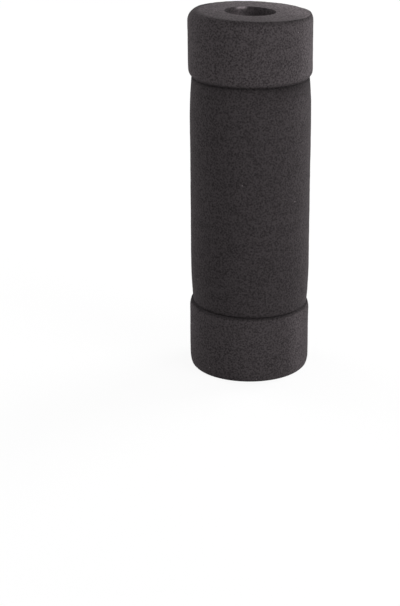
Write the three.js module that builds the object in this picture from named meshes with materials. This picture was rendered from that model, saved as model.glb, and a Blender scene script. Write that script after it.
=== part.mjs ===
import * as THREE from "three";

// A slip-on foam grip for a straight handlebar, standing on the end that has the longer collar.
// It is one length of thick closed-cell foam tube, ground on a mandrel: a softly crowned body between
// two raised collars, with a fine slit where each collar begins. Both ends are ground round and then
// knife-cut flat, so the open foam of each end face meets the round at a crisp edge.
// Millimetres, +Z up along the bore, origin at the centre of the lower end face.

// Driving dimensions along the bore.
const LOWER_COLLAR_LENGTH = 24.5;
const BODY_LENGTH = 83.2;
const UPPER_COLLAR_LENGTH = 22.3;

// Driving dimensions across it. The bore is unstretched: it opens out over a 22.2 mm bar.
const BORE_DIAMETER = 18;
const COLLAR_WALL = 12.75;
const BODY_BELOW_COLLAR = 0.35; // how far the body's full radius lies under the collars'
const VALLEY_BELOW_COLLAR = 1; // the same at the body's ends, beside the slits
const LIP_BELOW_COLLAR = 0.62; // the same at a collar's inner edge, across the slit

// Rounds and cuts.
const COLLAR_EDGE_RUN = 3.5; // length of a collar's rolled inner edge
const BODY_SHOULDER_RUN = 14; // length over which the body rises out of the valley
const SLIT_WIDTH = 0.5;
const SLIT_DEPTH = 0.45;
const NOSE_WIDTH = 2.5; // ground round at each end, measured across the bore
const NOSE_RUN = 2.4; // the same round, measured along the bore
const NOSE_SLOPE_AT_CUT = 25; // degrees between the end face and the round where the knife cut it off

// Facets: round the bore, and along each kind of curve.
const SIDES = 88;
const NOSE_STEPS = 6;
const EDGE_STEPS = 5;
const SHOULDER_STEPS = 5;

const FOAM_COLOUR = 0x3a3738;
const FOAM_ROUGHNESS = 0.93;

const boreRadius = BORE_DIAMETER / 2;
const collarRadius = boreRadius + COLLAR_WALL;
const bodyRadius = collarRadius - BODY_BELOW_COLLAR;
const valleyRadius = collarRadius - VALLEY_BELOW_COLLAR;
const length = LOWER_COLLAR_LENGTH + BODY_LENGTH + UPPER_COLLAR_LENGTH;

// Steps from 0 to 1, both ends included.
function shares(steps) {
  return Array.from({ length: steps + 1 }, (_, i) => i / steps);
}

// The ground round of one end, from the cut face out to the collar, as [radius, depth from the face].
function noseOutline() {
  const firstTurn = THREE.MathUtils.degToRad(NOSE_SLOPE_AT_CUT);
  return shares(NOSE_STEPS).map((share) => {
    const turn = THREE.MathUtils.lerp(firstTurn, Math.PI / 2, share);
    return [
      collarRadius - (NOSE_WIDTH * (1 - Math.sin(turn))) / (1 - Math.sin(firstTurn)),
      NOSE_RUN * (1 - Math.cos(turn) / Math.cos(firstTurn)),
    ];
  });
}

// One collar from the mouth of the bore out to the slit, as [radius, depth from the end face].
function collarOutline(collarLength) {
  const rolledEdge = shares(EDGE_STEPS).map((share) => [
    collarRadius - LIP_BELOW_COLLAR * share ** 2,
    collarLength - COLLAR_EDGE_RUN * (1 - share),
  ]);
  return [[boreRadius, 0], ...noseOutline(), ...rolledEdge];
}

// One end of the body from the slit to its full radius, as [radius, depth past the collar].
function shoulderOutline() {
  const slitFoot = [valleyRadius - SLIT_DEPTH, SLIT_WIDTH / 2];
  const rise = shares(SHOULDER_STEPS).map((share) => [
    valleyRadius + (bodyRadius - valleyRadius) * Math.sin((share * Math.PI) / 2),
    SLIT_WIDTH + BODY_SHOULDER_RUN * share,
  ]);
  return [slitFoot, ...rise];
}

// The closed section: up the outside from the lower end, over the upper end, and back down the bore.
function gripSection() {
  const half = (collarLength) => [
    ...collarOutline(collarLength),
    ...shoulderOutline().map(([radius, depth]) => [radius, collarLength + depth]),
  ];
  const lower = half(LOWER_COLLAR_LENGTH);
  const upper = half(UPPER_COLLAR_LENGTH)
    .map(([radius, depth]) => [radius, length - depth])
    .reverse();
  return [...lower, ...upper, lower[0]].map(([radius, height]) => new THREE.Vector2(radius, height));
}

// The lathe turns the section about its own Y axis, which is then stood up along Z.
function makeGrip() {
  const foam = new THREE.MeshStandardMaterial({
    color: FOAM_COLOUR,
    roughness: FOAM_ROUGHNESS,
    metalness: 0,
  });
  const grip = new THREE.Mesh(new THREE.LatheGeometry(gripSection(), SIDES), foam);
  grip.name = "grip";
  grip.rotation.x = Math.PI / 2;
  return grip;
}

const handlebarGrip = new THREE.Group();
handlebarGrip.add(makeGrip());

export default handlebarGrip;
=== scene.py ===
import math

import bpy
from mathutils import Matrix, Vector


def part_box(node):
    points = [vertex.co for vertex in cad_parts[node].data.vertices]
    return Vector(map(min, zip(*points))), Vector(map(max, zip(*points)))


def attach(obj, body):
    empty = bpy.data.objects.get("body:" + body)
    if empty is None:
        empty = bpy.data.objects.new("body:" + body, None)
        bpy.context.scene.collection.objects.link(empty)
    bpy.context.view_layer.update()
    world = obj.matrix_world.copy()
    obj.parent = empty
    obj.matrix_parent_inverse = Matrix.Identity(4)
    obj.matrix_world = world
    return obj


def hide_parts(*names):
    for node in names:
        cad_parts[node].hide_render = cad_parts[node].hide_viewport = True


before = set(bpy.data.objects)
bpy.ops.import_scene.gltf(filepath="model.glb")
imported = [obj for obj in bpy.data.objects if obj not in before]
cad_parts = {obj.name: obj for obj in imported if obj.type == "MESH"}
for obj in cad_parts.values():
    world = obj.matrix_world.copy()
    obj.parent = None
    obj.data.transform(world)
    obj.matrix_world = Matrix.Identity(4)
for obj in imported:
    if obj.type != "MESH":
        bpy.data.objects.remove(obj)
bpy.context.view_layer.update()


# Camera.
# A long lens half a metre off looks down on the grip from a little above its upper end,
# slightly off its axis, so that the grip stands right of centre in the upper part of the frame.
CAMERA_PLACE = (0.0, -0.54557, 0.22843)
CAMERA_TURN = 0.0332  # radians to the left of straight ahead
CAMERA_DIP = 0.3608  # radians below the horizon
CAMERA_ROLL = -0.0082
LENS_MM = 93.97  # for a 36 mm wide sensor across the long side of the frame

bpy.ops.object.camera_add(location=CAMERA_PLACE)
camera = bpy.context.object
camera.name = "camera"
turned = Matrix.Rotation(CAMERA_TURN, 3, "Z") @ Matrix.Rotation(math.pi / 2 - CAMERA_DIP, 3, "X")
camera.rotation_euler = (turned @ Matrix.Rotation(CAMERA_ROLL, 3, "Z")).to_euler()
camera.data.sensor_width = 36
camera.data.sensor_fit = "AUTO"
camera.data.lens = LENS_MM
camera.data.clip_start = 0.01
bpy.context.scene.camera = camera


# Foam grip, its shape.
# One length of thick closed-cell foam tube, ground on a mandrel to a crowned body between two collars.
# The ends are ground round and then cut off with a knife, the upper one a little out of square.
MM = 0.001  # sizes in this section are in millimetres, and a slope or tilt is a rise over a run
low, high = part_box("grip")
collar_radius = high.x / MM
grip_length = high.z / MM
BORE_RADIUS = 9.0
BODY_RADIUS = collar_radius - 0.35
VALLEY_RADIUS = collar_radius - 1.0  # of the body's ends, beside the slits
LOWER_COLLAR = 24.05
UPPER_COLLAR = 22.3
LOWER_LIP_RUN, LOWER_LIP_DROP = 2.5, 0.42  # the rolled edge of a collar, beside its slit
UPPER_LIP_RUN, UPPER_LIP_DROP = 3.0, 1.25
SHOULDER_RISE = 14.0  # length over which the body rises out of each valley
SLIT_WIDTH = 0.8
SLIT_DEPTH = 0.6
LOWER_ROUND = (1.0, 4.3)  # across and along the bore
UPPER_ROUND = 4.0
ROUND_ABOVE_CUT = 1.1  # how much of the upper round the knife took away
CUT_SLOPE = (-0.0359, -0.0046)  # to the right and to the rear
BODY_OFF_CENTRE = 0.2
OFF_CENTRE_START, OFF_CENTRE_RUN = 6.0, 18.0  # below the upper end
LOWER_SLIT_TILT, UPPER_SLIT_TILT = 0.018, 0.008
SLIT_TILT_REACH = 12.0
SIDES = 272
STEP = 0.5
ROUND_STEPS = 14
FACE_STEPS = 16
BORE_STEPS = 44
BORE_TOP = grip_length - 2  # the bore's last whole ring, under the slanted rim


def climb(start, end, radius_at):
    """Points of the section from one height to another, about a step apart, the last one included."""
    steps = max(1, round(abs(end - start) / STEP))
    heights = [start + (end - start) * i / steps for i in range(1, steps + 1)]
    return [(radius_at(height), height) for height in heights]


def foam_section():
    """The wall's section as (radius, height), from the mouth of the bore at the foot, round the outside."""
    upper = grip_length - UPPER_COLLAR
    body_low = LOWER_COLLAR + SLIT_WIDTH
    body_high = upper - SLIT_WIDTH
    top = grip_length + ROUND_ABOVE_CUT
    wide, tall = LOWER_ROUND
    foot = collar_radius - wide
    section = [(BORE_RADIUS + (foot - BORE_RADIUS) * i / FACE_STEPS, 0.0) for i in range(FACE_STEPS + 1)]

    def lower_round(height):
        return foot + wide * math.sin(math.acos(1 - height / tall))

    def collar(height):
        return collar_radius

    def lower_lip(height):
        return collar_radius - LOWER_LIP_DROP * (1 + (height - LOWER_COLLAR) / LOWER_LIP_RUN) ** 2

    def body(height):
        rise = min(1.0, (height - body_low) / SHOULDER_RISE, (body_high - height) / SHOULDER_RISE)
        return VALLEY_RADIUS + (BODY_RADIUS - VALLEY_RADIUS) * math.sin(max(0.0, rise) * math.pi / 2)

    def upper_lip(height):
        return collar_radius - UPPER_LIP_DROP * (1 - (height - upper) / UPPER_LIP_RUN) ** 3

    section += climb(0, tall, lower_round)
    section += climb(tall, LOWER_COLLAR - LOWER_LIP_RUN, collar)
    section += climb(LOWER_COLLAR - LOWER_LIP_RUN, LOWER_COLLAR, lower_lip)
    section += [(VALLEY_RADIUS - SLIT_DEPTH, LOWER_COLLAR + SLIT_WIDTH / 2), (VALLEY_RADIUS, body_low)]
    section += climb(body_low, body_high, body)
    section += [(VALLEY_RADIUS - SLIT_DEPTH, upper - SLIT_WIDTH / 2), (collar_radius - UPPER_LIP_DROP, upper)]
    section += climb(upper, upper + UPPER_LIP_RUN, upper_lip)
    section += climb(upper + UPPER_LIP_RUN, top - UPPER_ROUND, collar)
    for i in range(1, ROUND_STEPS + 1):
        turn = math.pi / 2 * i / ROUND_STEPS
        radius = collar_radius - UPPER_ROUND * (1 - math.cos(turn))
        section.append((radius, top - UPPER_ROUND * (1 - math.sin(turn))))
    rim = collar_radius - UPPER_ROUND
    section += [(rim + (BORE_RADIUS - rim) * i / FACE_STEPS, top) for i in range(1, FACE_STEPS + 1)]
    section += [(BORE_RADIUS, BORE_TOP * (1 - i / BORE_STEPS)) for i in range(BORE_STEPS + 1)]
    return section


bpy.ops.object.select_all(action="DESELECT")
bpy.ops.mesh.primitive_plane_add(size=0.001, location=(0, 0, 0))
foam = bpy.context.object
foam.name = "foam_grip"
foam.data.name = "foam_grip"

section = [Vector((radius * MM, 0, height * MM)) for radius, height in foam_section()]
bpy.ops.object.mode_set(mode="EDIT")
bpy.ops.mesh.select_all(action="SELECT")
bpy.ops.mesh.merge(type="CENTER")
bpy.ops.transform.translate(value=section[0])
for here, there in zip(section, section[1:]):
    bpy.ops.mesh.extrude_region_move(TRANSFORM_OT_translate={"value": there - here})
bpy.ops.mesh.select_all(action="SELECT")
bpy.ops.mesh.remove_doubles(threshold=1e-7)
bpy.ops.mesh.select_all(action="SELECT")
bpy.ops.mesh.spin(steps=SIDES, angle=2 * math.pi, center=(0, 0, 0), axis=(0, 0, 1))
bpy.ops.mesh.select_all(action="SELECT")
bpy.ops.mesh.remove_doubles(threshold=1e-6)
bpy.ops.mesh.normals_make_consistent(inside=False)

# The knife goes through the round on a slant, and all that stood above it is left flat.
cut_centre = Vector((0, 0, grip_length * MM))
cut_normal = Vector((-CUT_SLOPE[0], -CUT_SLOPE[1], 1)).normalized()
bpy.ops.mesh.select_all(action="SELECT")
bpy.ops.mesh.bisect(plane_co=cut_centre, plane_no=cut_normal)
bpy.ops.mesh.mark_sharp()
bpy.ops.object.mode_set(mode="OBJECT")
for vertex in foam.data.vertices:
    place = vertex.co / MM
    cut_height = grip_length + CUT_SLOPE[0] * place.x + CUT_SLOPE[1] * place.y
    place.z = min(place.z, cut_height)
    # The body was ground a hair off the centre of the bore, and the slits run down a little to the right.
    if math.hypot(place.x, place.y) > BORE_RADIUS + 1:
        height = place.z
        for slit, tilt in ((LOWER_COLLAR, LOWER_SLIT_TILT), (grip_length - UPPER_COLLAR, UPPER_SLIT_TILT)):
            place.z -= tilt * place.x * max(0.0, 1 - abs(height - slit) / SLIT_TILT_REACH)
        if height > LOWER_COLLAR + SLIT_WIDTH / 2:
            below_start = (grip_length - OFF_CENTRE_START - height) / OFF_CENTRE_RUN
            place.x += BODY_OFF_CENTRE * min(1.0, max(0.0, below_start))
    vertex.co = place * MM
bpy.ops.object.mode_set(mode="EDIT")
bpy.ops.mesh.select_all(action="SELECT")
bpy.ops.mesh.remove_doubles(threshold=1e-6)
bpy.ops.mesh.normals_make_consistent(inside=False)
bpy.ops.object.mode_set(mode="OBJECT")


# Foam grip, its surface.
# Grinding leaves a dense nap of torn cells, the knife leaves larger open cells that catch the light,
# and the bore keeps the closed skin of the tube. All three sink and swell a little, as foam does.
CELL_RELIEF = 0.5  # the cells' share in the relief, against the grain's
BROAD_STRETCH = (90, 90, 400)  # per metre: broad tones lie in flat streaks round the grip, as ground
BROAD_SHARE = 0.2
MIDDLE_TONE = 0.83
SPECK_SPACING = 0.007
SPECK_SIZE, SPECK_LIGHT = (0.02, 0.04), 4.0  # size in shares of the spacing, from core to edge
BUMP_HEIGHT = 0.0002


def add_node(material, kind, operation, value, *settings):
    """One more node on a material, fed by a socket and by sockets or plain settings; returns its output."""
    node = material.node_tree.nodes.new(kind)
    if operation:
        node.operation = operation
    material.node_tree.links.new(value, node.inputs[0])
    for place, setting in enumerate(settings, 1):
        if isinstance(setting, bpy.types.NodeSocket):
            material.node_tree.links.new(setting, node.inputs[place])
        else:
            node.inputs[place].default_value = setting
    return node.outputs["Value" if operation in ("DOT_PRODUCT", "LENGTH") else 0]


def dim(material, share):
    """Multiply a material's colour by the share that a socket gives."""
    nodes, links = material.node_tree.nodes, material.node_tree.links
    colour = nodes["Principled BSDF"].inputs["Base Color"]
    mix = nodes.new("ShaderNodeMix")
    mix.data_type = "RGBA"
    mix.blend_type = "MULTIPLY"
    mix.inputs[0].default_value = 1.0
    links.new(colour.links[0].from_socket, mix.inputs[6])
    links.new(share, mix.inputs[7])
    links.new(mix.outputs[2], colour)


def bands(material, position, stops):
    """Dim a material by the grey levels in a list of (position, level), the positions running from 0 to 1."""
    ramp = material.node_tree.nodes.new("ShaderNodeValToRGB")
    material.node_tree.links.new(position, ramp.inputs["Fac"])
    while len(ramp.color_ramp.elements) < len(stops):
        ramp.color_ramp.elements.new(1.0)
    for element, (stop, level) in zip(ramp.color_ramp.elements, stops):
        element.position = stop
        element.color = (level, level, level, 1)
    dim(material, ramp.outputs["Color"])


def foam_material(name, dark, light, cell, grain, contrast, bump):
    """Matte foam: cells of one size under a finer grain, both in the colour and in the relief."""
    material = bpy.data.materials.new(name)
    material.use_nodes = True
    nodes, links = material.node_tree.nodes, material.node_tree.links
    shader = nodes["Principled BSDF"]
    place = nodes.new("ShaderNodeTexCoord").outputs["Object"]

    cells = nodes.new("ShaderNodeTexVoronoi")
    cells.inputs["Scale"].default_value = 1 / cell
    links.new(place, cells.inputs["Vector"])
    fine = nodes.new("ShaderNodeTexNoise")
    fine.inputs["Scale"].default_value = 1 / grain
    fine.inputs["Detail"].default_value = 2
    fine.inputs["Roughness"].default_value = 0.6
    links.new(place, fine.inputs["Vector"])
    stretch = nodes.new("ShaderNodeVectorMath")
    stretch.operation = "MULTIPLY"
    stretch.inputs[1].default_value = BROAD_STRETCH
    links.new(place, stretch.inputs[0])
    broad = nodes.new("ShaderNodeTexNoise")
    broad.inputs["Scale"].default_value = 1
    broad.inputs["Detail"].default_value = 2
    links.new(stretch.outputs[0], broad.inputs["Vector"])

    relief = nodes.new("ShaderNodeMath")
    relief.operation = "MULTIPLY_ADD"
    relief.inputs[1].default_value = CELL_RELIEF
    links.new(cells.outputs["Distance"], relief.inputs[0])
    links.new(fine.outputs["Fac"], relief.inputs[2])
    tone = nodes.new("ShaderNodeMath")
    tone.operation = "MULTIPLY_ADD"
    tone.inputs[1].default_value = BROAD_SHARE
    links.new(broad.outputs["Fac"], tone.inputs[0])
    links.new(relief.outputs[0], tone.inputs[2])

    ramp = nodes.new("ShaderNodeValToRGB")
    ramp.color_ramp.elements[0].position = MIDDLE_TONE - contrast
    ramp.color_ramp.elements[0].color = (*dark, 1)
    ramp.color_ramp.elements[1].position = MIDDLE_TONE + contrast
    ramp.color_ramp.elements[1].color = (*light, 1)
    links.new(tone.outputs[0], ramp.inputs["Fac"])
    links.new(ramp.outputs["Color"], shader.inputs["Base Color"])

    # Here and there a speck of dust or a torn cell shows pale.
    specks = nodes.new("ShaderNodeTexVoronoi")
    specks.inputs["Scale"].default_value = 1 / SPECK_SPACING
    links.new(place, specks.inputs["Vector"])
    nearness = specks.outputs["Distance"]
    spot = add_node(material, "ShaderNodeMapRange", None, nearness, *SPECK_SIZE, SPECK_LIGHT, 0.0)
    pale = add_node(material, "ShaderNodeMath", "MULTIPLY", specks.outputs["Color"], spot)
    dim(material, add_node(material, "ShaderNodeMath", "ADD", pale, 1.0))

    height = nodes.new("ShaderNodeBump")
    height.inputs["Strength"].default_value = bump
    height.inputs["Distance"].default_value = BUMP_HEIGHT
    links.new(relief.outputs[0], height.inputs["Height"])
    links.new(height.outputs["Normal"], shader.inputs["Normal"])

    shader.inputs["Roughness"].default_value = 0.95
    shader.inputs["Specular IOR Level"].default_value = 0.05
    shader.inputs["Sheen Weight"].default_value = 0.02
    shader.inputs["Sheen Roughness"].default_value = 0.5
    shader.inputs["Sheen Tint"].default_value = (1.0, 0.88, 0.92, 1)
    return material


ground_foam = foam_material(
    "ground_foam", dark=(0.0225, 0.0195, 0.0206), light=(0.0555, 0.0483, 0.051),
    cell=0.0007, grain=0.0006, contrast=0.22, bump=0.6,
)
cut_foam = foam_material(
    "cut_foam", dark=(0.017, 0.0148, 0.0156), light=(0.064, 0.0557, 0.0588),
    cell=0.0009, grain=0.0006, contrast=0.25, bump=0.8,
)
bore_skin = foam_material(
    "bore_skin", dark=(0.021, 0.0183, 0.0193), light=(0.05, 0.0435, 0.046),
    cell=0.0008, grain=0.0006, contrast=0.3, bump=0.3,
)
for material in (ground_foam, cut_foam, bore_skin):
    foam.data.materials.append(material)

# The collars stand paler than the body, and painted shade darkens the slits and the foam beside them. Levels
# go by height, in millimetres.
place = ground_foam.node_tree.nodes["Texture Coordinate"].outputs["Object"]
across = add_node(ground_foam, "ShaderNodeVectorMath", "DOT_PRODUCT", place, (1 / MM, 0, 0))
mean_tilt = (LOWER_SLIT_TILT + UPPER_SLIT_TILT) / 2
up = add_node(ground_foam, "ShaderNodeVectorMath", "DOT_PRODUCT", place, (mean_tilt / MM, 0, 1 / MM))
slit_low = LOWER_COLLAR + SLIT_WIDTH / 2
slit_high = grip_length - UPPER_COLLAR - SLIT_WIDTH / 2
levels = (
    (0, 0.91), (slit_low - 1.0, 0.93),
    (slit_low - 0.5, 0.58), (slit_low + 0.5, 0.58),
    (slit_low + 1.3, 0.72), (85, 0.78), (slit_high - 1.7, 0.81),
    (slit_high - 0.5, 0.68), (slit_high + 0.5, 0.68),
    (slit_high + 1.2, 1.08), (grip_length, 1.09),
)
share = add_node(ground_foam, "ShaderNodeMath", "DIVIDE", up, grip_length)
bands(ground_foam, share, [(height / grip_length, level) for height, level in levels])

# Painted shade darkens the body close under the upper collar, most so on the right, and painted highlights
# make a paler patch on the right of both collars. Distances across and up are in millimetres.
under = add_node(ground_foam, "ShaderNodeMapRange", None, up, slit_high - 6, slit_high - 1, 0.0, 1.0)
over = add_node(ground_foam, "ShaderNodeMapRange", None, up, slit_high, slit_high + 2, -1.0, 0.0)
dark = add_node(ground_foam, "ShaderNodeMapRange", None, across, 0.0, 16.0, 0.1, 0.38)
dark = add_node(ground_foam, "ShaderNodeMath", "MULTIPLY", dark, under)
dark = add_node(ground_foam, "ShaderNodeMath", "MULTIPLY", dark, over)
dim(ground_foam, add_node(ground_foam, "ShaderNodeMath", "ADD", dark, 1.0))
# Painted highlight down the right of the lower collar.
below = add_node(ground_foam, "ShaderNodeMapRange", None, up, slit_low - 1.5, slit_low, 0.25, 0.0)
pale = add_node(ground_foam, "ShaderNodeMapRange", None, across, 13.5, 17.0, 0.0, 1.0)
edge = add_node(ground_foam, "ShaderNodeMapRange", None, across, 18.0, 20.5, 1.0, 0.0)
pale = add_node(ground_foam, "ShaderNodeMath", "MULTIPLY", pale, edge)
dim(ground_foam, add_node(ground_foam, "ShaderNodeMath", "MULTIPLY_ADD", pale, below, 1.0))
# Painted highlight along the right edge of the upper collar.
above = add_node(ground_foam, "ShaderNodeMapRange", None, up, slit_high + 1, slit_high + 3, 0.0, 0.14)
pale = add_node(ground_foam, "ShaderNodeMapRange", None, across, 17.0, 18.7, 0.0, 1.0)
dim(ground_foam, add_node(ground_foam, "ShaderNodeMath", "MULTIPLY_ADD", pale, above, 1.0))

# Painted shade darkens the round along the edge of the cut, on the right most. The depth below the cut, in
# metres, is counted from the plane of the cut, where it comes to minus the grip's length.
from_cut = (CUT_SLOPE[0], CUT_SLOPE[1], -1)
EDGE_SHADE_DEPTH = (-0.13, -0.1284)
depth = add_node(ground_foam, "ShaderNodeVectorMath", "DOT_PRODUCT", place, from_cut)
edge_shade = add_node(ground_foam, "ShaderNodeMapRange", None, across, -15.0, 17.0, 1.0, 0.5)
dim(ground_foam, add_node(ground_foam, "ShaderNodeMapRange", None, depth, *EDGE_SHADE_DEPTH, edge_shade, 1.0))

# Painted shade darkens the cut face along its edge, widest on the left, and painted highlights make it palest
# at the right and the rear.
place = cut_foam.node_tree.nodes["Texture Coordinate"].outputs["Object"]
FACE_SHADE_CENTRE = (0.0016, 0, 0)
FACE_SHADE_REACH = (0.019, 0.0202)
shifted = add_node(cut_foam, "ShaderNodeVectorMath", "SUBTRACT", place, FACE_SHADE_CENTRE)
flat = add_node(cut_foam, "ShaderNodeVectorMath", "MULTIPLY", shifted, (1, 1, 0))
reach = add_node(cut_foam, "ShaderNodeVectorMath", "LENGTH", flat)
dim(cut_foam, add_node(cut_foam, "ShaderNodeMapRange", None, reach, *FACE_SHADE_REACH, 1.0, 0.6))
rearward = add_node(cut_foam, "ShaderNodeVectorMath", "DOT_PRODUCT", place, (0.5, 1, 0))
dim(cut_foam, add_node(cut_foam, "ShaderNodeMapRange", None, rearward, -0.02, 0.02, 0.96, 1.84))
rightward = add_node(cut_foam, "ShaderNodeVectorMath", "DOT_PRODUCT", place, (1, 0.4, 0))
dim(cut_foam, add_node(cut_foam, "ShaderNodeMapRange", None, rightward, 0.01, 0.0185, 1.0, 1.3))

# Painted light makes the skin palest left of the middle, and a thin pale crescent of painted light lies under
# the rim at the rear.
place = bore_skin.node_tree.nodes["Texture Coordinate"].outputs["Object"]
across = add_node(bore_skin, "ShaderNodeVectorMath", "DOT_PRODUCT", place, (1 / MM, 0, 0))
share = add_node(bore_skin, "ShaderNodeMath", "MULTIPLY_ADD", across, 0.5 / BORE_RADIUS, 0.5)
levels = ((-8, 0.78), (-6, 1.35), (-4.2, 2.25), (-0.7, 1.45), (2.5, 1.2), (6.4, 2.2), (8.2, 1.3))
bands(bore_skin, share, [(0.5 + 0.5 * side / BORE_RADIUS, level) for side, level in levels])
depth = add_node(bore_skin, "ShaderNodeVectorMath", "DOT_PRODUCT", place, from_cut)
CRESCENT_DEPTH, CRESCENT_LIGHT = (-0.1297, -0.129), 2.0
crescent = add_node(bore_skin, "ShaderNodeMapRange", None, depth, *CRESCENT_DEPTH, 1.0, 0.0)
left = add_node(bore_skin, "ShaderNodeMapRange", None, across, -5.4, -3.6, 0.0, 1.0)
right = add_node(bore_skin, "ShaderNodeMapRange", None, across, -2.0, -0.8, 1.0, 0.0)
rear = add_node(bore_skin, "ShaderNodeVectorMath", "DOT_PRODUCT", place, (0, 200, 0))
for limit in (left, right, rear):
    crescent = add_node(bore_skin, "ShaderNodeMath", "MULTIPLY", crescent, limit)
crescent = add_node(bore_skin, "ShaderNodeMath", "MAXIMUM", crescent, 0.0)
dim(bore_skin, add_node(bore_skin, "ShaderNodeMath", "MULTIPLY_ADD", crescent, CRESCENT_LIGHT, 1.0))

# All faces start with the first material, the ground foam.
CUT, BORE = 1, 2
ON_CUT = 1e-6
WITHIN_BORE = (BORE_RADIUS + 0.01) * MM
for face in foam.data.polygons:
    above_cut = (face.center - cut_centre).dot(cut_normal)
    if abs(above_cut) < ON_CUT or abs(face.center.z) < ON_CUT:
        face.material_index = CUT
    elif math.hypot(face.center.x, face.center.y) < WITHIN_BORE:
        face.material_index = BORE

# The lower end face stays flat on the table, and the bore moves less than the outside.
STILL_HEIGHT = 2 * MM
BORE_MOVES = 0.4
loose = foam.vertex_groups.new(name="free_to_swell")
for vertex in foam.data.vertices:
    inside = math.hypot(vertex.co.x, vertex.co.y) < WITHIN_BORE
    freedom = min(1.0, vertex.co.z / STILL_HEIGHT) * (BORE_MOVES if inside else 1.0)
    loose.add([vertex.index], freedom, "REPLACE")

RELIEFS = (("swell", 0.014, 0.00022), ("peel", 0.0028, 0.00007), ("grain", 0.0011, 0.00006))
for name, size, depth in RELIEFS:
    clouds = bpy.data.textures.new(name, "CLOUDS")
    clouds.noise_scale = size
    clouds.noise_depth = 1
    relief = foam.modifiers.new(name, "DISPLACE")
    relief.texture = clouds
    relief.texture_coords = "LOCAL"
    relief.strength = depth
    relief.mid_level = 0.5
    relief.vertex_group = "free_to_swell"
    bpy.ops.object.modifier_apply(modifier=name)
CREASE_ANGLE = math.radians(38)
bpy.ops.object.shade_smooth_by_angle(angle=CREASE_ANGLE)

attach(foam, "root")
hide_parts("grip")


# Floor and light.
# A plain white table in an evenly lit room, with one strong soft lamp behind to the right
# and two weaker ones, in front to the right and behind to the left.
TABLE_WHITE = 0.9
SEEN_WHITE = 0.9  # the share of plain white that is seen on the table in place of its shading
ROOM_LIGHT, ROOM_SEEN = 0.5, 1.0
LAMP_SIZE = 0.7
bpy.ops.object.select_all(action="DESELECT")
bpy.ops.mesh.primitive_plane_add(size=6, location=(0, 0, 0))
floor = bpy.context.object
floor.name = "floor"
white = bpy.data.materials.new("white_table")
white.use_nodes = True
nodes, links = white.node_tree.nodes, white.node_tree.links
table = nodes["Principled BSDF"]
table.inputs["Base Color"].default_value = (TABLE_WHITE, TABLE_WHITE, TABLE_WHITE, 1)
table.inputs["Roughness"].default_value = 0.9
glow = nodes.new("ShaderNodeEmission")
mix = nodes.new("ShaderNodeMixShader")
seen = nodes.new("ShaderNodeLightPath").outputs
plain = add_node(white, "ShaderNodeMath", "ADD", seen["Is Camera Ray"], seen["Is Glossy Ray"])
plain = add_node(white, "ShaderNodeMath", "ADD", plain, seen["Is Transmission Ray"])
share = add_node(white, "ShaderNodeMapRange", None, plain, 0.0, 1.0, 0.0, SEEN_WHITE)
links.new(share, mix.inputs["Fac"])
links.new(table.outputs[0], mix.inputs[1])
links.new(glow.outputs[0], mix.inputs[2])
links.new(mix.outputs[0], nodes["Material Output"].inputs["Surface"])
floor.data.materials.append(white)

for name, place, power in (
    ("right rear lamp", (0.8, 0.6, 0.4), 10.8),
    ("right front lamp", (0.8, -0.6, 0.5), 6.2),
    ("left rear lamp", (-0.8, 0.6, 0.4), 5.8),
):
    bpy.ops.object.light_add(type="AREA", location=place)
    lamp = bpy.context.object
    lamp.name = name
    lamp.data.shape = "DISK"
    lamp.data.size = LAMP_SIZE
    lamp.data.energy = power
    aim = Vector((0, 0, grip_length * MM / 2)) - Vector(place)
    lamp.rotation_euler = aim.to_track_quat("-Z", "Y").to_euler()

world = bpy.data.worlds.new("white_room")
bpy.context.scene.world = world
world.use_nodes = True
nodes, links = world.node_tree.nodes, world.node_tree.links
seen = nodes.new("ShaderNodeLightPath").outputs
plain = add_node(world, "ShaderNodeMath", "ADD", seen["Is Camera Ray"], seen["Is Glossy Ray"])
plain = add_node(world, "ShaderNodeMath", "ADD", plain, seen["Is Transmission Ray"])
level = add_node(world, "ShaderNodeMapRange", None, plain, 0.0, 1.0, ROOM_LIGHT, ROOM_SEEN)
nodes["Background"].inputs["Color"].default_value = (1, 1, 1, 1)
links.new(level, nodes["Background"].inputs["Strength"])

bpy.context.scene.view_settings.view_transform = "Standard"
